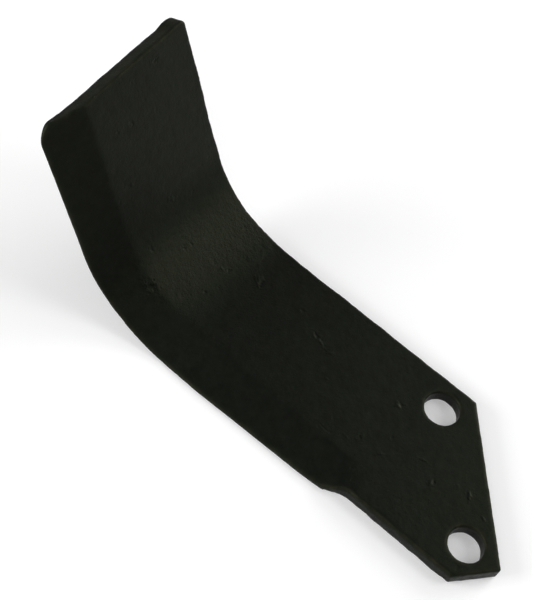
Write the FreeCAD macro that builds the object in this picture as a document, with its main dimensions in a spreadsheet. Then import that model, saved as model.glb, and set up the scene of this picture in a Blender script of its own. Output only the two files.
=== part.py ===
"""Rotary tiller blade: one forged steel bar with a bolted tang, a shank, a bend and a wing.

The body's own axes are the bar's: X runs along the bar towards the wing, Y across it towards
the cutting edge, Z up. Z = 0 is the outer face, which seats on the rotor flange, and the wing
rises on the inner side. The origin is the middle of the bolt line on the outer face, and the
body's Placement turns the bar so that the bolt line lies along X.
"""

import FreeCAD
import Part
import Sketcher
import math
import os
from types import SimpleNamespace

# Driving dimensions, in millimetres and degrees: alias, value, meaning.
SIZES = (
    ("thickness", 7.0, "bar thickness"),
    ("bolt_spacing", 57.0, "distance between the two bolt holes"),
    ("bolt_hole", 14.5, "bolt hole diameter, clearance for M14"),
    ("bolt_line_angle", 45.0, "bolt line against the bar"),
    ("back_web", 5.0, "metal between the back hole and the back edge"),
    ("front_web", 7.3, "metal between the foot hole and the front edge of the tang"),
    ("end_web", 5.0, "metal between the foot hole and the sheared end of the tang"),
    ("end_slant", 2.4, "sheared end of the tang against the bolt line"),
    ("foot_web", 4.5, "metal between the foot hole and the foot of the tang"),
    ("foot_angle", 49.8, "foot of the tang against the bar"),
    ("tang_round", 1.2, "corners of the tang"),
    ("bolts_to_step", 25.5, "middle of the bolt line to the step from tang to blade"),
    ("step_hollow", 7.4, "radius of the step's hollow"),
    ("step_crown", 10.5, "radius of the step's crown"),
    ("edge_sweep", 1200.0, "radius of the cutting edge along the shank"),
    ("edge_spread", 6.0, "how far pressing the bevel has spread the bar past the tang, at the bend"),
    ("bolts_to_bend", 110.0, "middle of the bolt line to the start of the bend"),
    ("bend_radius", 50.0, "inner radius of the bend"),
    ("bend_angle", 63.4, "turn of the bend"),
    ("wing_length", 60.3, "end of the bend to the wing's end, along the back edge"),
    ("wing_end_angle", 4.2, "slant of the wing's end"),
    ("wing_edge_angle", 1.75, "slant of the wing's cutting edge"),
    ("wing_front_round", 7.3, "corner between the wing's end and its cutting edge"),
    ("wing_back_round", 2.0, "corner between the wing's end and its back edge"),
    ("bevel_width", 17.3, "cutting edge to the ridge where the bevel begins, at the bend"),
    ("bevel_angle", 17.5, "slope of the bevel"),
    ("step_to_bevel", 6.5, "step to the start of the bevel's run-out"),
    ("runout_rise", 2.5, "turning centre of the run-out above the inner face"),
    ("cutter_margin", 3.0, "how far the bevel's cutting shape stands out past the bar"),
    ("edge_break", 0.4, "width taken off every edge of the bar and its holes by wear"),
)

# Lengths that follow from them: the back edge, the tang's front, and the cutting edge and the
# ridge at the bend, each from the middle of the bolt line across the bar, then the bevel's start.
HALF_RISE = "Sizes.bolt_spacing / 2 * sin(Sizes.bolt_line_angle * 1 deg)"
TO_BACK = f"({HALF_RISE} + Sizes.bolt_hole / 2 + Sizes.back_web)"
TO_FRONT = f"({HALF_RISE} + Sizes.bolt_hole / 2 + Sizes.front_web)"
TO_EDGE = f"({TO_FRONT} + Sizes.edge_spread)"
TO_RIDGE = f"({TO_EDGE} - Sizes.bevel_width)"
TO_BEVEL = "(Sizes.bolts_to_step + Sizes.step_to_bevel)"


def make_sheet(doc):
    """Spreadsheet with one row per driving dimension."""
    sheet = doc.addObject("Spreadsheet::Sheet", "Sizes")
    for row, (alias, value, meaning) in enumerate(SIZES, start=1):
        sheet.set(f"A{row}", meaning)
        sheet.set(f"B{row}", str(value))
        sheet.setAlias(f"B{row}", alias)
    doc.recompute()
    return sheet


def new_sketch(body, name, role):
    """Sketch on one of the body's own origin planes."""
    plane = next(item for item in body.Origin.OriginFeatures if item.Role == role)
    sketch = body.newObject("Sketcher::SketchObject", name)
    sketch.AttachmentSupport = [(plane, "")]
    sketch.MapMode = "FlatFace"
    return sketch


def drive(sketch, name, expression, kind, *where):
    """Adds a dimension under a name of its own and ties it to the sheet."""
    value = float(sketch.evalExpression(expression))
    if kind == "Angle":
        value = math.radians(value)
        expression = f"({expression}) * 1 deg"
    index = sketch.addConstraint(Sketcher.Constraint(kind, *where, value))
    sketch.renameConstraint(index, name)
    sketch.setExpression(f"Constraints.{name}", expression)


def relate(sketch, kind, *where):
    """Adds a relation that has no size of its own."""
    sketch.addConstraint(Sketcher.Constraint(kind, *where))


def polar(angle, radius=1.0):
    """Vector in the sketch's plane at an angle in degrees."""
    return FreeCAD.Vector(math.cos(math.radians(angle)), math.sin(math.radians(angle)), 0) * radius


def crossing(point_a, angle_a, point_b, angle_b):
    """Where a line through point_a meets a line through point_b."""
    along = polar(angle_a)
    normal = polar(angle_b + 90)
    return point_a + along * ((point_b - point_a).dot(normal) / along.dot(normal))


def arc(center, start, end):
    """Arc about a centre, anticlockwise from start to end."""
    circle = Part.Circle(center, FreeCAD.Vector(0, 0, 1), (start - center).Length)
    return Part.ArcOfCircle(circle, circle.parameter(start), circle.parameter(end))


def draw_shank(body, size):
    """Outline of tang and shank, with the two bolt holes, on the outer face."""
    sketch = new_sketch(body, "shank_outline", "XY_Plane")
    hole_back = polar(-size.bolt_line_angle, size.bolt_spacing / 2)
    hole_foot = hole_back * -1
    back_y = -size.to_back
    front_y = size.to_front
    end_turn = 180 - size.bolt_line_angle - size.end_slant
    hole_radius = size.bolt_hole / 2
    on_end = hole_foot + polar(end_turn + 90, hole_radius + size.end_web)
    on_foot = hole_foot + polar(size.foot_angle + 90, hole_radius + size.foot_web)
    back_corner = crossing(on_end, end_turn, FreeCAD.Vector(0, back_y, 0), 0)
    tip = crossing(on_end, end_turn, on_foot, size.foot_angle)
    foot_corner = crossing(on_foot, size.foot_angle, FreeCAD.Vector(0, front_y, 0), 0)
    bend_back = FreeCAD.Vector(size.bolts_to_bend, back_y, 0)
    bend_edge = FreeCAD.Vector(size.bolts_to_bend, size.to_edge, 0)

    # The step's hollow starts on the tang's front, and its crown ends on the edge's long arc.
    step_foot = FreeCAD.Vector(size.bolts_to_step, front_y, 0)
    sweep_center = bend_edge - FreeCAD.Vector(0, size.edge_sweep, 0)
    hollow_center = step_foot + FreeCAD.Vector(0, size.step_hollow, 0)
    to_crown = size.edge_sweep - size.step_crown
    step_arcs = size.step_hollow + size.step_crown
    across = hollow_center - sweep_center
    lean = math.acos((across.Length**2 + to_crown**2 - step_arcs**2) / (2 * across.Length * to_crown))
    crown_turn = math.atan2(across.y, across.x) - lean
    crown_center = sweep_center + polar(math.degrees(crown_turn), to_crown)
    step_top = sweep_center + (crown_center - sweep_center) * (size.edge_sweep / to_crown)
    step_middle = hollow_center + (crown_center - hollow_center) * (size.step_hollow / step_arcs)

    back, bend, sweep, crown, hollow, front, foot, end, bolt_line, hole_a, hole_b = range(11)
    across_bar = FreeCAD.Vector(0, 0, 1)
    sketch.addGeometry([
        Part.LineSegment(back_corner, bend_back),
        Part.LineSegment(bend_back, bend_edge),
        arc(sweep_center, bend_edge, step_top),
        arc(crown_center, step_top, step_middle),
        arc(hollow_center, step_foot, step_middle),
        Part.LineSegment(step_foot, foot_corner),
        Part.LineSegment(foot_corner, tip),
        Part.LineSegment(tip, back_corner),
    ], False)
    sketch.addGeometry(Part.LineSegment(hole_back, hole_foot), True)
    for center in (hole_back, hole_foot):
        sketch.addGeometry(Part.Circle(center, across_bar, hole_radius), False)

    relate(sketch, "Horizontal", back)
    relate(sketch, "Vertical", bend)
    relate(sketch, "Horizontal", front)
    relate(sketch, "Coincident", back, 2, bend, 1)
    relate(sketch, "Coincident", bend, 2, sweep, 1)
    relate(sketch, "Vertical", sweep, 3, bend, 2)
    relate(sketch, "Tangent", sweep, 2, crown, 1)
    relate(sketch, "Tangent", crown, 2, hollow, 2)
    relate(sketch, "Tangent", hollow, 1, front, 1)
    relate(sketch, "Coincident", front, 2, foot, 1)
    relate(sketch, "Coincident", foot, 2, end, 1)
    relate(sketch, "Coincident", end, 2, back, 1)
    relate(sketch, "Coincident", bolt_line, 1, hole_a, 3)
    relate(sketch, "Coincident", bolt_line, 2, hole_b, 3)
    relate(sketch, "Symmetric", bolt_line, 1, bolt_line, 2, -1, 1)
    relate(sketch, "Equal", hole_a, hole_b)
    drive(sketch, "bolt_spacing", "Sizes.bolt_spacing", "Distance", bolt_line)
    drive(sketch, "bolt_line_angle", "180 - Sizes.bolt_line_angle", "Angle", bolt_line)
    drive(sketch, "bolt_hole", "Sizes.bolt_hole", "Diameter", hole_a)
    drive(sketch, "to_back", TO_BACK, "DistanceY", back, 2, -1, 1)
    drive(sketch, "to_front", TO_FRONT, "DistanceY", -1, 1, front, 1)
    drive(sketch, "to_edge", TO_EDGE, "DistanceY", -1, 1, bend, 2)
    drive(sketch, "bolts_to_bend", "Sizes.bolts_to_bend", "DistanceX", -1, 1, back, 2)
    drive(sketch, "edge_sweep", "Sizes.edge_sweep", "Radius", sweep)
    drive(sketch, "step_crown", "Sizes.step_crown", "Radius", crown)
    drive(sketch, "step_hollow", "Sizes.step_hollow", "Radius", hollow)
    drive(sketch, "bolts_to_step", "Sizes.bolts_to_step", "DistanceX", -1, 1, front, 1)
    drive(sketch, "end_margin", "Sizes.bolt_hole / 2 + Sizes.end_web", "Distance", hole_b, 3, end)
    drive(sketch, "end_turn", "-Sizes.bolt_line_angle - Sizes.end_slant", "Angle", end)
    drive(sketch, "foot_margin", "Sizes.bolt_hole / 2 + Sizes.foot_web", "Distance", hole_b, 3, foot)
    drive(sketch, "foot_angle", "Sizes.foot_angle - 180", "Angle", foot)
    return sketch


def draw_bar_section(body, size):
    """Section of the bar where the bend starts, with the bend's axis above it."""
    sketch = new_sketch(body, "bar_section", "YZ_Plane")
    sketch.setExpression("AttachmentOffset.Base.z", "Sizes.bolts_to_bend")
    left = -size.to_back
    right = size.to_edge
    axis_z = size.thickness + size.bend_radius
    low_left = FreeCAD.Vector(left, 0, 0)
    low_right = FreeCAD.Vector(right, 0, 0)
    top_right = FreeCAD.Vector(right, size.thickness, 0)
    top_left = FreeCAD.Vector(left, size.thickness, 0)
    bottom, edge, top, back, axis = range(5)
    sketch.addGeometry([
        Part.LineSegment(low_left, low_right),
        Part.LineSegment(low_right, top_right),
        Part.LineSegment(top_right, top_left),
        Part.LineSegment(top_left, low_left),
    ], False)
    sketch.addGeometry(Part.LineSegment(
        FreeCAD.Vector(right, axis_z, 0), FreeCAD.Vector(left, axis_z, 0)), True)
    for index in (bottom, edge, top, back):
        relate(sketch, "Coincident", index, 2, (index + 1) % 4, 1)
    relate(sketch, "Horizontal", bottom)
    relate(sketch, "Vertical", edge)
    relate(sketch, "Horizontal", top)
    relate(sketch, "Vertical", back)
    relate(sketch, "Horizontal", axis)
    relate(sketch, "PointOnObject", bottom, 1, -1)
    relate(sketch, "Vertical", axis, 1, edge, 1)
    relate(sketch, "Vertical", axis, 2, back, 1)
    drive(sketch, "to_back", TO_BACK, "DistanceX", bottom, 1, -1, 1)
    drive(sketch, "to_edge", TO_EDGE, "DistanceX", -1, 1, bottom, 2)
    drive(sketch, "thickness", "Sizes.thickness", "DistanceY", edge, 1, edge, 2)
    drive(sketch, "bend_radius", "Sizes.bend_radius", "DistanceY", edge, 2, axis, 1)
    return sketch


def draw_wing(body, size):
    """Outline of the wing on its outer face, from the end of the bend."""
    sketch = new_sketch(body, "wing_outline", "XY_Plane")
    outer = "(Sizes.thickness + Sizes.bend_radius)"
    turn = "(Sizes.bend_angle * 1 deg)"
    lift = FreeCAD.Rotation(FreeCAD.Vector(0, -1, 0), size.bend_angle)
    sketch.AttachmentOffset = FreeCAD.Placement(FreeCAD.Vector(0, 0, 0), lift)
    sketch.setExpression("AttachmentOffset.Rotation.Angle", turn)
    sketch.setExpression("AttachmentOffset.Base.x", f"Sizes.bolts_to_bend + {outer} * sin({turn})")
    sketch.setExpression("AttachmentOffset.Base.z", f"{outer} * (1 - cos({turn}))")
    root_back = FreeCAD.Vector(0, -size.to_back, 0)
    root_edge = FreeCAD.Vector(0, size.to_edge, 0)
    tip_back = root_back + FreeCAD.Vector(size.wing_length, 0, 0)
    tip_edge = crossing(tip_back, 90 + size.wing_end_angle, root_edge, size.wing_edge_angle)
    back, end, edge, root = range(4)
    sketch.addGeometry([
        Part.LineSegment(root_back, tip_back),
        Part.LineSegment(tip_back, tip_edge),
        Part.LineSegment(tip_edge, root_edge),
        Part.LineSegment(root_edge, root_back),
    ], False)
    for index in (back, end, edge, root):
        relate(sketch, "Coincident", index, 2, (index + 1) % 4, 1)
    relate(sketch, "Horizontal", back)
    relate(sketch, "PointOnObject", root, 1, -2)
    relate(sketch, "PointOnObject", root, 2, -2)
    drive(sketch, "to_back", TO_BACK, "DistanceY", root, 2, -1, 1)
    drive(sketch, "to_edge", TO_EDGE, "DistanceY", -1, 1, root, 1)
    drive(sketch, "wing_length", "Sizes.wing_length", "DistanceX", back, 1, back, 2)
    drive(sketch, "wing_end_angle", "90 + Sizes.wing_end_angle", "Angle", end)
    drive(sketch, "wing_edge_angle", "Sizes.wing_edge_angle - 180", "Angle", edge)
    return sketch


def draw_bevel_path(body, size):
    """Inner face seen from the side: along the shank, round the bend and up the wing."""
    sketch = new_sketch(body, "bevel_path", "XZ_Plane")
    start = FreeCAD.Vector(size.to_bevel, size.thickness, 0)
    bend_start = FreeCAD.Vector(size.bolts_to_bend, size.thickness, 0)
    bend_center = bend_start + FreeCAD.Vector(0, size.bend_radius, 0)
    bend_end = bend_center + polar(size.bend_angle - 90, size.bend_radius)
    wing_run = size.wing_length + size.cutter_margin
    shank, bend, wing = range(3)
    sketch.addGeometry([
        Part.LineSegment(start, bend_start),
        arc(bend_center, bend_start, bend_end),
        Part.LineSegment(bend_end, bend_end + polar(size.bend_angle, wing_run)),
    ], False)
    relate(sketch, "Horizontal", shank)
    relate(sketch, "Tangent", shank, 2, bend, 1)
    relate(sketch, "Tangent", bend, 2, wing, 1)
    drive(sketch, "thickness", "Sizes.thickness", "DistanceY", -1, 1, shank, 1)
    drive(sketch, "to_bevel", TO_BEVEL, "DistanceX", -1, 1, shank, 1)
    drive(sketch, "bolts_to_bend", "Sizes.bolts_to_bend", "DistanceX", -1, 1, shank, 2)
    drive(sketch, "bend_radius", "Sizes.bend_radius", "Radius", bend)
    drive(sketch, "bend_angle", "Sizes.bend_angle", "Angle", wing)
    drive(sketch, "wing_run", "Sizes.wing_length + Sizes.cutter_margin", "Distance", wing)
    return sketch


def draw_bevel_section(body, size):
    """Triangle cut off along the cutting edge: its slope meets the inner face at the ridge."""
    sketch = new_sketch(body, "bevel_section", "YZ_Plane")
    sketch.setExpression("AttachmentOffset.Base.z", TO_BEVEL)
    ridge = FreeCAD.Vector(size.to_ridge, size.thickness, 0)
    side = FreeCAD.Vector(size.to_edge + size.cutter_margin, 0, 0)
    over = ridge + FreeCAD.Vector(0, size.runout_rise, 0)
    low = crossing(ridge, -size.bevel_angle, side, 90)
    high = crossing(ridge, -size.bevel_angle, over, 0)
    corner = crossing(over, 0, side, 90)
    slope, outside, top, on_ridge, axis = range(5)
    sketch.addGeometry([
        Part.LineSegment(high, low),
        Part.LineSegment(low, corner),
        Part.LineSegment(corner, high),
    ], False)
    sketch.addGeometry(Part.Point(ridge), True)
    sketch.addGeometry(Part.LineSegment(corner, high), True)
    for index in (slope, outside, top):
        relate(sketch, "Coincident", index, 2, (index + 1) % 3, 1)
    relate(sketch, "Vertical", outside)
    relate(sketch, "Horizontal", top)
    relate(sketch, "PointOnObject", on_ridge, 1, slope)
    relate(sketch, "Coincident", axis, 1, top, 1)
    relate(sketch, "Coincident", axis, 2, top, 2)
    drive(sketch, "to_ridge", TO_RIDGE, "DistanceX", -1, 1, on_ridge, 1)
    drive(sketch, "thickness", "Sizes.thickness", "DistanceY", -1, 1, on_ridge, 1)
    drive(sketch, "bevel_angle", "-Sizes.bevel_angle", "Angle", slope)
    drive(sketch, "outside", f"{TO_EDGE} + Sizes.cutter_margin", "DistanceX", -1, 1, outside, 1)
    drive(sketch, "runout_rise", "Sizes.runout_rise", "DistanceY", on_ridge, 1, top, 1)
    return sketch


def corner_edges(shape, sketch, corners):
    """Names of the edges that rise from corners of the sketch, square to it."""
    square = sketch.Placement.Rotation.multVec(FreeCAD.Vector(0, 0, 1))
    feet = [sketch.Placement.multVec(corner) for corner in corners]
    names = []
    for index, edge in enumerate(shape.Edges, start=1):
        ends = [vertex.Point for vertex in edge.Vertexes]
        if len(ends) < 2 or (ends[1] - ends[0]).cross(square).Length > 1e-3:
            continue
        if any(end.isEqual(foot, 1e-3) for end in ends for foot in feet):
            names.append(f"Edge{index}")
    return names


def add_feature(body, kind, name, profile, **expressions):
    """PartDesign feature on a sketch, with its sizes tied to the sheet."""
    feature = body.newObject(kind, name)
    feature.Profile = profile
    for key, expression in expressions.items():
        feature.setExpression(key, expression)
    return feature


def round_edges(body, name, radius, edges):
    """Fillet on the named edges of the newest feature."""
    base = body.Tip
    fillet = body.newObject("PartDesign::Fillet", name)
    fillet.Base = (base, edges)
    fillet.setExpression("Radius", radius)
    fillet.Document.recompute()


def break_edges(body, name, width):
    """Narrow chamfer on every sharp edge of the newest feature."""
    base = body.Tip
    chamfer = body.newObject("PartDesign::Chamfer", name)
    chamfer.Base = (base, [""])
    chamfer.UseAllEdges = True
    chamfer.setExpression("Size", width)
    chamfer.Document.recompute()


def check(doc, body):
    """Stops before anything is written if a feature failed or a cut took nothing away."""
    for item in doc.Objects:
        if "Invalid" in item.State or "Error" in item.State:
            raise RuntimeError(f"{item.Name} failed: {item.State}")
    if body.Shape.isNull() or not body.Shape.isValid() or len(body.Shape.Solids) != 1:
        raise RuntimeError("the blade is not one valid solid")
    for cut, before in (("bevel", "worn_edges"), ("bevel_runout", "bevel")):
        if doc.getObject(cut).Shape.Volume > doc.getObject(before).Shape.Volume - 1:
            raise RuntimeError(f"{cut} takes nothing away")


def main():
    doc = FreeCAD.newDocument("tiller_blade")
    sheet = make_sheet(doc)
    size = SimpleNamespace(**{alias: float(sheet.get(alias)) for alias, _, _ in SIZES})
    for name, expression in (
        ("to_back", TO_BACK), ("to_front", TO_FRONT), ("to_edge", TO_EDGE),
        ("to_ridge", TO_RIDGE), ("to_bevel", TO_BEVEL),
    ):
        setattr(size, name, float(doc.Sizes.evalExpression(expression)))
    body = doc.addObject("PartDesign::Body", "blade")
    body.Label = "blade"

    # The bar: tang and shank cut from one plate, rolled up through the bend into the wing.
    shank_outline = draw_shank(body, size)
    add_feature(body, "PartDesign::Pad", "shank", shank_outline, Length="Sizes.thickness")
    bar_section = draw_bar_section(body, size)
    bend = add_feature(body, "PartDesign::Revolution", "bend", bar_section, Angle="Sizes.bend_angle")
    bend.ReferenceAxis = (bar_section, ["Axis0"])
    wing_outline = draw_wing(body, size)
    add_feature(body, "PartDesign::Pad", "wing", wing_outline, Length="Sizes.thickness")
    doc.recompute()

    # Corners of the outline, then the wear along every edge of the bar and its holes.
    back_edge, foot_edge = (shank_outline.Geometry[index] for index in (0, 6))
    tang = (back_edge.StartPoint, foot_edge.StartPoint, foot_edge.EndPoint)
    wing_back, wing_front = (wing_outline.Geometry[index].EndPoint for index in (0, 1))
    for name, radius, sketch, corners in (
        ("tang_corners", "Sizes.tang_round", shank_outline, tang),
        ("wing_back_corner", "Sizes.wing_back_round", wing_outline, (wing_back,)),
        ("wing_front_corner", "Sizes.wing_front_round", wing_outline, (wing_front,)),
    ):
        round_edges(body, name, radius, corner_edges(body.Tip.Shape, sketch, corners))
    break_edges(body, "worn_edges", "Sizes.edge_break")

    # The bevel follows the bar round the bend, and turns out of it where it starts.
    bevel_path = draw_bevel_path(body, size)
    bevel_section = draw_bevel_section(body, size)
    bevel = add_feature(body, "PartDesign::SubtractivePipe", "bevel", bevel_section)
    bevel.Spine = (bevel_path, ["Edge1", "Edge2", "Edge3"])
    runout = add_feature(body, "PartDesign::Groove", "bevel_runout", bevel_section)
    runout.ReferenceAxis = (bevel_section, ["Axis0"])
    runout.Angle = 90
    runout.Reversed = True

    # Turned so that the bolt line lies along X.
    body.Placement = FreeCAD.Placement(
        FreeCAD.Vector(0, 0, 0), FreeCAD.Rotation(FreeCAD.Vector(0, 0, 1), size.bolt_line_angle))
    body.setExpression("Placement.Rotation.Angle", "Sizes.bolt_line_angle * 1 deg")
    doc.recompute()

    check(doc, body)
    os.makedirs("parts", exist_ok=True)
    body.Shape.exportStep(f"parts/{body.Label}.step")


main()
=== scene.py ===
"""Rotary tiller blade: black paint over forged steel, lying on a pale floor under soft light.

The blade is worked flat, the way the bar is before it goes into the bending die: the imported
solid is unrolled along its bend, cut into a fine net, given its forged skin, pits and wear, and
rolled up again. Lengths in the blade's own working are millimetres in the bar's axes, with X
along the bar from the middle of the bolt line, Y across it towards the cutting edge and Z up
from the outer face.
"""

import math
import random

import bmesh
import bpy
from mathutils import Matrix, Vector, kdtree, noise


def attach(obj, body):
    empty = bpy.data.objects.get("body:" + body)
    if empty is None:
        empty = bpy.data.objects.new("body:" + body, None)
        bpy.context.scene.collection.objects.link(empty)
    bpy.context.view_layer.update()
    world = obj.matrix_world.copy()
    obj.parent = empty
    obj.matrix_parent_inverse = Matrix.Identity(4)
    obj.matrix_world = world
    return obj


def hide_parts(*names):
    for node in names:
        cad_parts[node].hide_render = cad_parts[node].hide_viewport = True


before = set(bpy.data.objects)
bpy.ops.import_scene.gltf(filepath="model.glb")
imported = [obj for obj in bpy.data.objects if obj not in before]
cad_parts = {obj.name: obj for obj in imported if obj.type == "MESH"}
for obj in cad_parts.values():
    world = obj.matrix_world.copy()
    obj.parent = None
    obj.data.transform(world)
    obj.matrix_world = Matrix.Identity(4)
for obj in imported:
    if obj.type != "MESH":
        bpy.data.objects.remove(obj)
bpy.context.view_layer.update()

# The studio, in metres and degrees: the point that the lamps look at and how far off they stand,
# how bright the surroundings are and how much the floor glows to the eye and in gloss, and each
# lamp's azimuth, elevation, width and power.
BLADE_MIDDLE = Vector((0.05, 0.07, 0.02))
BOX_DISTANCE = 1.2
SURROUNDINGS = 0.22
FLOOR_WIDTH = 3.0
FLOOR_LIFT = 0.25
SOFT_BOXES = (
    ("front_box", 90, 20, 0.7, 13),
    ("back_box", 300, 20, 0.7, 9),
    ("high_box", 150, 45, 0.7, 2.5),
    ("band_box", 262, 40, 0.5, 3.2),
    ("top_box", 288, 57, 0.5, 1.2),
)
CAMERA_LENS = 82.49
CAMERA_PLACE = (-0.20869, 0.17644, 0.47064)
CAMERA_TURN = (32.099, -10.108, -95.375)

# The bar, as the solid has it.
BAR_TURN = math.radians(45)
THICKNESS = 7.0
BEND_START = 110.0
OUTER_RADIUS = 57.0
BEND_TURN = math.radians(63.4)
NEUTRAL_RADIUS = OUTER_RADIUS - THICKNESS / 2
BACK_EDGE = -32.4
CUTTING_EDGE = 40.75
RIDGE = 23.4
TANG_END = -66.0
WING_END = BEND_START + NEUTRAL_RADIUS * BEND_TURN + 60.5
TANG_FRONT = 34.7

# The bevel: its slope, where the solid's scooped end of it lies and how high that turns, and the
# stretch over which the real one runs out.
BEVEL_SLOPE = math.tan(math.radians(17.5))
SCOOP_PLACE = 32
SCOOP_RISE = 2.5
RUNOUT = (23, 39)

# Where the net is evened out at the crown of the step, and how many times.
STEP_REACH = 2.2
STEP_PASSES = 10

# How softly the ridge is turned: everywhere, and how much more round the middle of the bend. Then
# how far beside the ridge that reaches.
RIDGE_SOFTNESS = 0.5
BEND_SOFTNESS = 0.7
BEND_MIDDLE = 137
BEND_SPREAD = 25
RIDGE_REACH = 6

# Rims: the solid's broken edge, the radii that take its place, the spacing of the points that
# mark a corner and how far from one the wear is felt. A face of the bar is at least FACE_LEVEL
# level, a side of it at most SIDE_LEVEL, and a broken edge more than BREAK_LEVEL.
EDGE_BREAK = 0.4
RIM_RADIUS = 1.0
TANG_FRONT_RADIUS = 1.7
KEEN_RADIUS = 0.4
FRONT_STRIP = 4
CORNER_STEP = 0.15
RIM_REACH = 4
FACE_LEVEL = 0.8
SIDE_LEVEL = 0.76
BREAK_LEVEL = 0.3

# Worn look of the rims, also painted lighter as a painted highlight along them: width of the light
# line, how worn and highlit it is, and how much that varies along it and grows towards the tang.
RUB_AND_HIGHLIGHT_WIDTH = 1.0
RUB_AND_HIGHLIGHT_LEVEL = 0.6
RUB_AND_HIGHLIGHT_VARIES = 0.5
TANG_RUB_AND_HIGHLIGHT = 0.5
TANG_RUB_AND_HIGHLIGHT_SPREAD = 60

ALONG_WING = Vector((math.cos(BEND_TURN), 0, math.sin(BEND_TURN)))
OUT_OF_WING = Vector((math.sin(BEND_TURN), 0, -math.cos(BEND_TURN)))
BEND_AXIS = Vector((BEND_START, 0, OUTER_RADIUS))

# Spacing of the net that carries the surface detail. The inner face has half of it, and a mark
# a quarter. Across the walls it is WALL_NET. Points closer than MERGE are one, facets that turn by
# less than FLAT_TURN are one, and a cut takes in points nearer to it than CUT_SNAP.
NET = 1.3
WALL_NET = 1.0
MERGE = 0.005
FLAT_TURN = math.radians(0.3)
CUT_SNAP = 0.04

# How far the rolled and pressed edges swell past a straight line: place along the bar, half
# length of the swell, height.
BACK_SWELLS = ((97, 12, -0.3), (120, 8, 0.3), (141, 8, -0.25), (168, 9, 0.55), (205, 16, 0.2))
FRONT_SWELLS = ((45, 7, 0.2), (76, 14, -0.25), (111, 10, -0.25), (157, 14, 0.35))

# The wing's sheared end: place across it, half width, and how far it stands out at the outer face
# and at the inner one.
END_SWELLS = ((-27.5, 3.5, 0.9, 0.1), (38.5, 3.5, 1.5, 0.9), (23, 3, -0.2, -0.4))
DRAGGED = 9

# Streaks on that end where the steel shows, with a painted highlight that makes the end lighter
# towards its inner
# face: length, height, the height between which they come up, and how worn and highlit the end is
# at its outer side, how much more at its middle, and how much the streaks vary it.
STREAK_SIZE = (9, 1.1)
STREAKS_START = (1.2, 3.0)
END_RUB_AND_HIGHLIGHT = 0.2
MIDDLE_RUB_AND_HIGHLIGHT = 0.4
STREAK_RUB = 0.4

# Marks that stand out on the inner face: along the bar, across it, half width, stretch, turn in
# degrees and depth before MARK_DEPTH. A negative depth is a lump.
MARK_DEPTH = 0.55
MARKS = (
    (139.0, 24.6, 1.5, 1.5, 40, 0.75),
    (141.5, 26.4, 1.0, 1.3, 100, -0.35),
    (137.2, 27.0, 0.8, 1.6, 20, 0.45),
    (136.8, 22.8, 0.8, 1.3, 60, -0.3),
    (222.5, -13.2, 0.8, 2.4, 100, 0.5),
    (111.0, -13.8, 1.6, 1.2, 30, -0.45),
    (108.6, -12.6, 1.2, 1.4, 120, 0.4),
    (74.0, -8.4, 0.9, 3.2, 165, -0.35),
    (76.5, -9.6, 1.0, 2.2, 160, 0.35),
    (67.5, -7.6, 0.8, 2.4, 20, -0.3),
    (34.0, -8.0, 0.9, 1.8, 35, -0.35),
    (33.0, -9.2, 0.8, 1.6, 30, 0.35),
    (-9.5, 3.2, 0.8, 2.6, 120, -0.45),
    (-19.0, 7.2, 0.7, 1.8, 150, -0.35),
    (5.0, 9.8, 0.8, 2.0, 115, -0.4),
    (4.0, 8.4, 0.7, 1.8, 115, 0.35),
    (12.5, 3.8, 0.7, 3.0, 15, -0.25),
    (122.5, 8.2, 0.7, 1.5, 60, 0.4),
    (122.5, -6.8, 0.8, 1.5, 60, 0.4),
    (125.0, -5.0, 0.7, 1.6, 30, -0.35),
    (142.5, 2.6, 0.8, 1.6, 80, 0.4),
    (164.5, -2.2, 1.3, 2.0, 70, -0.3),
    (183.0, 14.2, 0.6, 3.0, 60, -0.3),
    (206.0, 5.4, 0.8, 1.5, 40, 0.25),
    (49.0, 20.6, 0.5, 9.0, 178, 0.16),
    (41.0, 17.4, 0.5, 5.0, 172, -0.16),
    (88.0, -14.8, 0.9, 1.6, 0, 0.3),
    (62.0, 3.0, 0.7, 1.8, 50, -0.25),
    (26.0, 13.5, 0.7, 2.6, 40, -0.25),
)

# Small pits left by rolled-in scale: how many on each face, half width, stretch, depth for each
# millimetre of half width, the share of them that are lumps, and how high, how far out and how
# broad their lips are. They are closest together where the bar was heated.
PITS_PER_FACE = 70
PIT_SIZE = (0.4, 0.9)
PIT_STRETCH = (1, 2.2)
PIT_STEEPNESS = (0.06, 0.18)
PIT_SENSE = (1, 1, -0.6)
PITS_ELSEWHERE = 0.3
PIT_HEAT = (128, 24)
LIP = 0.28
LIP_PLACE = 1.25
LIP_BREADTH = 0.25

# Forged skin: depth and size of its waves and hammer marks, and where scale pits start, how soon
# they are full, how deep they are and how much deeper where the bar was worked hot.
WORKED = (124, 26)
WAVES = (0.16, 24)
HAMMERING = (0.035, 4)
HEAT_HAMMERING = 0.8
SCALE_SIZE = 1.8
SCALE_START = 0.25
SCALE_FULL = 0.4
SCALE_DEPTH = 0.04
HEAT_SCALE_DEPTH = 0.08


def unroll(point):
    """Point of the bent blade, moved to where it lies on the flat bar."""
    from_axis = point - BEND_AXIS
    if from_axis.x <= 0:
        return point.copy()
    past_bend = from_axis.dot(ALONG_WING)
    if past_bend > 0:
        reach = from_axis.dot(OUT_OF_WING)
        along = BEND_TURN * NEUTRAL_RADIUS + past_bend
    else:
        reach = math.hypot(from_axis.x, from_axis.z)
        along = math.atan2(from_axis.x, -from_axis.z) * NEUTRAL_RADIUS
    return Vector((BEND_START + along, point.y, OUTER_RADIUS - reach))


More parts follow.
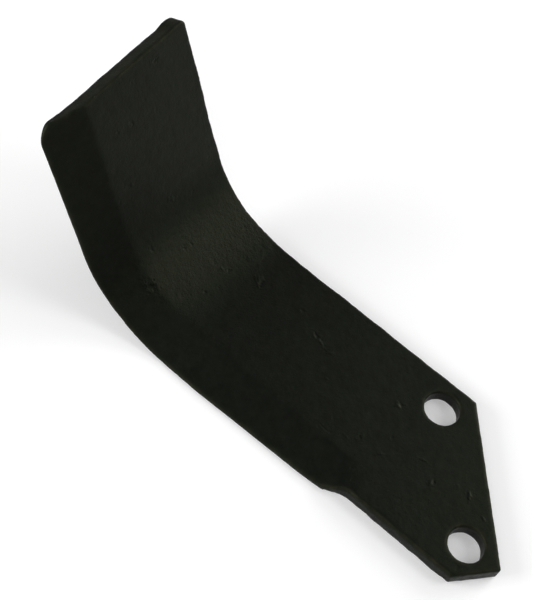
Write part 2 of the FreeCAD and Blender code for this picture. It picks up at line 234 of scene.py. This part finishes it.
def roll_up(point):
    """Point of the flat bar, moved to where it lies on the bent blade."""
    along = point.x - BEND_START
    if along <= 0:
        return point.copy()
    reach = OUTER_RADIUS - point.z
    turn = min(along / NEUTRAL_RADIUS, BEND_TURN)
    past_bend = along - turn * NEUTRAL_RADIUS
    out = Vector((math.sin(turn), 0, -math.cos(turn)))
    rolled = BEND_AXIS + out * reach + ALONG_WING * past_bend
    rolled.y = point.y
    return rolled


def swell(along, middle, half_length):
    """Smooth hump of height 1 at its middle."""
    return math.exp(-((along - middle) / half_length) ** 2)


def cut_across(bm, axis, low, high, spacing):
    """Cuts the whole mesh by evenly spaced planes square to one axis."""
    normal = Vector((0, 0, 0))
    normal[axis] = 1
    count = int((high - low) / spacing)
    for step in range(1, count + 1):
        spot = Vector((0, 0, 0))
        spot[axis] = low + (high - low) * step / (count + 1)
        everything = bm.verts[:] + bm.edges[:] + bm.faces[:]
        bmesh.ops.bisect_plane(bm, geom=everything, dist=CUT_SNAP, plane_co=spot, plane_no=normal)


def flat_net():
    """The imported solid, unrolled flat and cut into a net of small cells."""
    bm = bmesh.new()
    bm.from_mesh(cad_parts["blade"].data)
    bm.transform(Matrix.Rotation(-BAR_TURN, 4, "Z") @ Matrix.Scale(1000, 4))
    bmesh.ops.remove_doubles(bm, verts=bm.verts[:], dist=MERGE)
    for vert in bm.verts:
        vert.co = unroll(vert.co)
    bmesh.ops.dissolve_limit(bm, angle_limit=FLAT_TURN, verts=bm.verts[:], edges=bm.edges[:])
    cut_across(bm, 0, TANG_END, WING_END, NET)
    cut_across(bm, 1, BACK_EDGE, CUTTING_EDGE, NET)
    cut_across(bm, 2, 0, THICKNESS, WALL_NET)
    bmesh.ops.recalc_face_normals(bm, faces=bm.faces[:])
    return bm


def ease(value, low, high):
    """Share of the way from low to high, eased at both ends."""
    share = min(max((value - low) / (high - low), 0), 1)
    return share * share * (3 - 2 * share)


def ease_bevel(bm):
    """Turns the ridge softly and draws the scooped end of the bevel out into a long slope."""
    for vert in bm.verts:
        along, across, height = vert.co
        if along > RUNOUT[0] and across > RIDGE - RIDGE_REACH:
            past = across - RIDGE
            behind = max(SCOOP_PLACE - along, 0)
            reach = max(past, 0) * BEVEL_SLOPE + SCOOP_RISE
            scooped = max(math.sqrt(max(reach ** 2 - behind ** 2, 0)) - SCOOP_RISE, 0)
            soft = RIDGE_SOFTNESS + BEND_SOFTNESS * swell(along, BEND_MIDDLE, BEND_SPREAD)
            fall = BEVEL_SLOPE * soft * math.log(1 + math.exp(past / soft))
            vert.co.z = height * (THICKNESS - fall * ease(along, *RUNOUT)) / (THICKNESS - scooped)
    bm.normal_update()


def find_corners(bm):
    """Where the bar's corners were before wear: points a short step apart along every rim, each
    with the way out across the bar and the way out of the face, and a search tree of the points.
    """
    corners = []
    for edge in bm.edges:
        if len(edge.link_faces) != 2:
            continue
        side, face = sorted(edge.link_faces, key=lambda f: abs(f.normal.z))
        if abs(face.normal.z) < FACE_LEVEL or abs(side.normal.z) > SIDE_LEVEL:
            continue
        out = Vector((side.normal.x, side.normal.y, 0)).normalized()
        start, end = (vert.co for vert in edge.verts)
        broken = EDGE_BREAK if abs(side.normal.z) > BREAK_LEVEL else 0
        steps = max(1, round(edge.calc_length() / CORNER_STEP))
        for step in range(steps + 1):
            corner = start.lerp(end, step / steps) + out * broken
            corners.append((corner, out, Vector((0, 0, math.copysign(1, face.normal.z)))))
    tree = kdtree.KDTree(len(corners))
    for index, (corner, out, up) in enumerate(corners):
        tree.insert(corner, index)
    tree.balance()
    return corners, tree


def rim_radius(place):
    """Radius that blanking, tumbling and wear have left on the rim near a place."""
    if place.y > TANG_FRONT - FRONT_STRIP:
        keen = ease(place.x, *RUNOUT)
        radius = TANG_FRONT_RADIUS + (KEEN_RADIUS - TANG_FRONT_RADIUS) * keen
    else:
        radius = RIM_RADIUS
    return radius * (1 + 0.45 * noise.noise(place / 6) + 0.25 * noise.noise(place / 1.7))


def scatter_pits(chance, face):
    """Pits for one face of the bar, closest together where it was heated for bending."""
    pits = []
    while len(pits) < PITS_PER_FACE:
        along = chance.uniform(TANG_END + 20, WING_END)
        across = chance.uniform(BACK_EDGE, CUTTING_EDGE)
        crowding = PITS_ELSEWHERE + (1 - PITS_ELSEWHERE) * swell(along, *PIT_HEAT)
        if chance.random() > crowding:
            continue
        size = chance.uniform(*PIT_SIZE)
        depth = size * chance.uniform(*PIT_STEEPNESS) * chance.choice(PIT_SENSE)
        stretch = chance.uniform(*PIT_STRETCH)
        turn = chance.uniform(0, 180)
        pits.append((Vector((along, across, face)), size, stretch, turn, depth))
    return pits


def halve(bm, faces):
    """Halves the cells of part of the net."""
    edges = {edge for face in faces for edge in face.edges}
    bmesh.ops.subdivide_edges(bm, edges=list(edges), cuts=1, use_grid_fill=True)


def faces_round(bm, pits):
    """Faces of the net at and just round each pit."""
    faces = bm.faces[:]
    tree = kdtree.KDTree(len(faces))
    for index, face in enumerate(faces):
        tree.insert(face.calc_center_median(), index)
    tree.balance()
    near = set()
    for spot, size, stretch, turn, depth in pits:
        found = tree.find_range(spot, size * stretch * 1.6)
        near.update(index for place, index, distance in found)
    return [faces[index] for index in near]


def round_rims(bm, rub_and_highlight):
    """Rolls the bar's sharp rims over unevenly and notes how far each place is worn and painted
    lighter as a painted highlight.
    """
    corners, tree = find_corners(bm)
    for vert in bm.verts:
        place, index, distance = tree.find(vert.co)
        if distance > RIM_REACH:
            continue
        corner, out, up = corners[index]
        radius = rim_radius(vert.co)
        across = (vert.co - corner).dot(out) + radius
        rise = (vert.co - corner).dot(up) + radius
        if across > 0 and rise > 0:
            pulled = radius / math.hypot(across, rise) - 1
            vert.co += out * (across * min(pulled, 0)) + up * (rise * min(pulled, 0))
        # Lighter colour along the rims: worn paint, and painted highlight standing in for the
        # light lines of the rounded rims.
        patches = RUB_AND_HIGHLIGHT_VARIES * noise.noise(vert.co / 3.5)
        bare_and_highlit = RUB_AND_HIGHLIGHT_LEVEL + patches + TANG_RUB_AND_HIGHLIGHT * swell(vert.co.x, TANG_END, TANG_RUB_AND_HIGHLIGHT_SPREAD)
        vert[rub_and_highlight] = swell(distance, 0, RUB_AND_HIGHLIGHT_WIDTH) * bare_and_highlit


def relax_step(bm):
    """Evens the net out where the scooped wall met the bevel at the crown of the step."""
    near = [
        vert for vert in bm.verts
        if abs(vert.co.x - SCOOP_PLACE) < STEP_REACH and vert.co.y > TANG_FRONT + 1
    ]
    for turn in range(STEP_PASSES):
        bmesh.ops.smooth_vert(
            bm, verts=near, factor=0.5, use_axis_x=True, use_axis_y=True, use_axis_z=True
        )


def shear_end(bm, rub_and_highlight):
    """Drags the wing's end into its sheared nose and corner, and notes how worn it is, painted
    lighter towards its inner face as a painted highlight.
    """
    for vert in bm.verts:
        if vert.co.x < WING_END - DRAGGED:
            continue
        outer = 1 - vert.co.z / THICKNESS
        near_end = ease(vert.co.x, WING_END - DRAGGED, WING_END - 1)
        for across, half, low, high in END_SWELLS:
            reach = low * outer + high * (1 - outer)
            vert.co.x += near_end * swell(vert.co.y, across, half) * reach
        if vert.normal.x > 0.6:
            length, width = STREAK_SIZE
            streak = noise.noise(Vector((vert.co.y / length, vert.co.z / width, 0)))
            # Lighter towards the inner face: painted highlight on the end, over its worn streaks.
            middle = ease(vert.co.z, *STREAKS_START)
            bare_and_highlit = END_RUB_AND_HIGHLIGHT + MIDDLE_RUB_AND_HIGHLIGHT * middle + STREAK_RUB * streak
            vert[rub_and_highlight] = max(vert[rub_and_highlight] * (0.4 + 0.6 * middle), bare_and_highlit)


def press_pits(bm, pits):
    """Presses each pit into its face, with a ragged outline and a low lip."""
    bm.normal_update()
    bm.verts.ensure_lookup_table()
    tree = kdtree.KDTree(len(bm.verts))
    for index, vert in enumerate(bm.verts):
        tree.insert(vert.co, index)
    tree.balance()
    moves = {}
    for spot, size, stretch, turn, depth in pits:
        spin = Matrix.Rotation(math.radians(-turn), 3, "Z")
        for place, index, distance in tree.find_range(spot, size * stretch * 1.7 + 1):
            vert = bm.verts[index]
            if abs(vert.normal.z) < 0.8:
                continue
            local = spin @ (place - spot)
            ratio = math.hypot(local.x / stretch, local.y) / size
            broad = 0.8 * noise.noise(place * 1.1 / size)
            ratio *= 1 + broad + 0.5 * noise.noise(place * 2.7 / size)
            bowl = max(0, 1 - ratio ** 2) ** 1.5
            lip = LIP * swell(ratio, LIP_PLACE, LIP_BREADTH) * (depth > 0)
            moves[index] = moves.get(index, 0) + depth * (lip - bowl)
    for index, move in moves.items():
        vert = bm.verts[index]
        vert.co += vert.normal * move


def forge_skin(bm, worked_layer):
    """Low waves, hammer marks and shallow ragged scale pits of a forged and pressed skin."""
    bm.normal_update()
    for vert in bm.verts:
        worked = swell(vert.co.x, *WORKED) * (0.8 + 0.5 * noise.noise(vert.co / 15))
        vert[worked_layer] = worked
        waves = WAVES[0] * noise.noise(vert.co / WAVES[1])
        hammering = HAMMERING[0] * (1 + HEAT_HAMMERING * worked)
        hammering *= noise.fractal(vert.co / HAMMERING[1], 0.8, 2.1, 3)
        scale = noise.fractal(vert.co / SCALE_SIZE + Vector((9, 4, 2)), 0.8, 2.2, 2)
        scaling = min(max((scale - SCALE_START) / SCALE_FULL, 0), 1)
        scaling *= SCALE_DEPTH + HEAT_SCALE_DEPTH * worked
        vert.co += vert.normal * (waves + hammering - scaling)


def swollen(along, swells):
    """How far an edge swells past its straight line at a place along the bar."""
    return sum(high * swell(along, middle, half) for middle, half, high in swells)


def swell_edges(bm):
    """Gives the rolled back edge and the pressed cutting edge their uneven run."""
    for vert in bm.verts:
        if vert.co.y < 0:
            pull = (vert.co.y / BACK_EDGE) ** 2
            vert.co.y -= pull * swollen(vert.co.x, BACK_SWELLS)
        else:
            pull = (vert.co.y / CUTTING_EDGE) ** 2
            vert.co.y += pull * swollen(vert.co.x, FRONT_SWELLS)


def arithmetic(tree, operation, *sources):
    """Result of a sum on sockets and plain numbers."""
    node = tree.nodes.new("ShaderNodeMath")
    node.operation = operation
    for socket, source in zip(node.inputs, sources):
        if isinstance(source, (int, float)):
            socket.default_value = source
        else:
            tree.links.new(source, socket)
    return node.outputs["Value"]


def attribute(tree, name):
    """Value that the mesh carries at its points."""
    node = tree.nodes.new("ShaderNodeAttribute")
    node.attribute_name = name
    return node.outputs["Fac"]


def paint():
    """Thin satin black paint, uneven over the forged skin, worn along the rims and painted lighter
    there as a painted highlight.
    """
    material = bpy.data.materials.new("black_paint")
    material.use_nodes = True
    tree = material.node_tree
    nodes = tree.nodes
    links = tree.links
    shader = nodes["Principled BSDF"]
    place = nodes.new("ShaderNodeTexCoord").outputs["Object"]

    def grain(scale, detail, roughness=0.6):
        texture = nodes.new("ShaderNodeTexNoise")
        texture.inputs["Scale"].default_value = scale
        texture.inputs["Detail"].default_value = detail
        texture.inputs["Roughness"].default_value = roughness
        links.new(place, texture.inputs["Vector"])
        return texture.outputs["Fac"]

    def ramp(source, *stops):
        node = nodes.new("ShaderNodeValToRGB")
        while len(node.color_ramp.elements) < len(stops):
            node.color_ramp.elements.new(0.5)
        for element, (position, colour) in zip(node.color_ramp.elements, stops):
            element.position = position
            element.color = (*colour, 1)
        links.new(source, node.inputs["Fac"])
        return node.outputs["Color"]

    def mix(factor, first, second):
        node = nodes.new("ShaderNodeMix")
        node.data_type = "RGBA"
        links.new(factor, node.inputs["Factor"])
        links.new(first, node.inputs["A"])
        links.new(second, node.inputs["B"])
        return node.outputs["Result"]

    thin, thick = (0.0038, 0.0044, 0.0041), (0.0060, 0.0069, 0.0062)
    coat = ramp(grain(240, 7, 0.7), (0.34, thin), (0.66, thick))
    # Lighter colour of the rims: worn paint and steel, and also painted highlight for the rims'
    # light lines.
    steel, worn_paint_and_highlight = (0.018, 0.017, 0.011), (0.010, 0.012, 0.008)
    rubbed_and_highlit = ramp(grain(260, 4), (0.40, worn_paint_and_highlight), (0.62, steel))
    links.new(mix(attribute(tree, "rub_and_highlight"), coat, rubbed_and_highlit), shader.inputs["Base Color"])

    sheen = nodes.new("ShaderNodeMapRange")
    sheen.inputs["From Min"].default_value = 0.35
    sheen.inputs["From Max"].default_value = 0.68
    sheen.inputs["To Min"].default_value = 0.34
    sheen.inputs["To Max"].default_value = 0.52
    links.new(grain(420, 5), sheen.inputs["Value"])
    links.new(sheen.outputs["Result"], shader.inputs["Roughness"])
    shader.inputs["Specular IOR Level"].default_value = 0.09
    shader.inputs["Specular Tint"].default_value = (0.88, 1.0, 0.50, 1)

    coarse = arithmetic(tree, "MULTIPLY_ADD", attribute(tree, "worked"), 0.9, 0.5)
    height = arithmetic(tree, "MULTIPLY", grain(900, 6, 0.7), coarse)
    bump = nodes.new("ShaderNodeBump")
    bump.inputs["Strength"].default_value = 1.0
    bump.inputs["Distance"].default_value = 0.0002
    links.new(height, bump.inputs["Height"])
    links.new(bump.outputs["Normal"], shader.inputs["Normal"])
    return material


def put_in_scene(name, data):
    """Object of a mesh, lamp or camera, in the scene."""
    thing = bpy.data.objects.new(name, data)
    bpy.context.scene.collection.objects.link(thing)
    return thing


def build_blade():
    """The whole blade: its net worked flat, rolled up, painted and put in the solid's place."""
    bm = flat_net()
    rub_and_highlight = bm.verts.layers.float.new("rub_and_highlight")
    worked = bm.verts.layers.float.new("worked")
    chance = random.Random(7)
    pits = [
        (Vector((along, across, THICKNESS)), size, stretch, turn, depth * MARK_DEPTH)
        for along, across, size, stretch, turn, depth in MARKS
    ]
    pits += scatter_pits(chance, THICKNESS) + scatter_pits(chance, 0)
    ease_bevel(bm)
    halve(bm, [face for face in bm.faces if face.normal.z > 0.5])
    halve(bm, faces_round(bm, pits))
    bm.normal_update()
    round_rims(bm, rub_and_highlight)
    relax_step(bm)
    bm.normal_update()
    shear_end(bm, rub_and_highlight)
    forge_skin(bm, worked)
    press_pits(bm, pits)
    swell_edges(bm)
    for vert in bm.verts:
        vert.co = roll_up(vert.co)
        vert.co.z = max(vert.co.z, 0)
    bm.transform(Matrix.Scale(0.001, 4) @ Matrix.Rotation(BAR_TURN, 4, "Z"))
    mesh = bpy.data.meshes.new("forged_blade")
    bm.to_mesh(mesh)
    bm.free()
    mesh.shade_smooth()
    mesh.materials.append(paint())
    blade = put_in_scene("forged_blade", mesh)
    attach(blade, "root")
    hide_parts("blade")


def lay_floor():
    """Wide pale floor that the blade rests on."""
    mesh = bpy.data.meshes.new("floor")
    bm = bmesh.new()
    bmesh.ops.create_grid(bm, x_segments=1, y_segments=1, size=FLOOR_WIDTH)
    bm.to_mesh(mesh)
    bm.free()
    put_in_scene("floor", mesh)
    material = bpy.data.materials.new("pale_floor")
    material.use_nodes = True
    tree = material.node_tree
    shader = tree.nodes["Principled BSDF"]
    shader.inputs["Base Color"].default_value = (0.8, 0.8, 0.8, 1)
    shader.inputs["Roughness"].default_value = 0.9
    shader.inputs["Specular IOR Level"].default_value = 0.0
    shader.inputs["Emission Color"].default_value = (1, 1, 1, 1)
    ray = tree.nodes.new("ShaderNodeLightPath").outputs
    seen = arithmetic(tree, "MAXIMUM", ray["Is Camera Ray"], ray["Is Glossy Ray"])
    seen = arithmetic(tree, "MAXIMUM", seen, ray["Is Transmission Ray"])
    glow = arithmetic(tree, "MULTIPLY", seen, FLOOR_LIFT)
    tree.links.new(glow, shader.inputs["Emission Strength"])
    mesh.materials.append(material)


def soft_box(name, azimuth, elevation, size, power):
    """Square soft lamp that looks at the middle of the blade."""
    data = bpy.data.lights.new(name, "AREA")
    data.shape = "SQUARE"
    data.size = size
    data.energy = power
    lamp = put_in_scene(name, data)
    flat = BOX_DISTANCE * math.cos(elevation)
    height = BOX_DISTANCE * math.sin(elevation)
    towards = Vector((flat * math.cos(azimuth), flat * math.sin(azimuth), height))
    lamp.location = BLADE_MIDDLE + towards
    lamp.rotation_euler = (-towards).to_track_quat("-Z", "Y").to_euler()


def light_studio():
    """Dim even surroundings and the soft boxes."""
    world = bpy.data.worlds.new("studio")
    bpy.context.scene.world = world
    world.use_nodes = True
    back = world.node_tree.nodes["Background"]
    back.inputs["Color"].default_value = (1, 1, 1, 1)
    back.inputs["Strength"].default_value = SURROUNDINGS
    for name, azimuth, elevation, size, power in SOFT_BOXES:
        soft_box(name, math.radians(azimuth), math.radians(elevation), size, power)


def place_camera():
    """Camera above the cutting edge, looking down on the inner face."""
    data = bpy.data.cameras.new("camera")
    data.lens = CAMERA_LENS
    data.clip_start = 0.01
    camera = put_in_scene("camera", data)
    camera.location = CAMERA_PLACE
    camera.rotation_euler = [math.radians(a) for a in CAMERA_TURN]
    bpy.context.scene.camera = camera


bpy.context.scene.view_settings.view_transform = "Standard"
build_blade()
lay_floor()
light_studio()
place_camera()
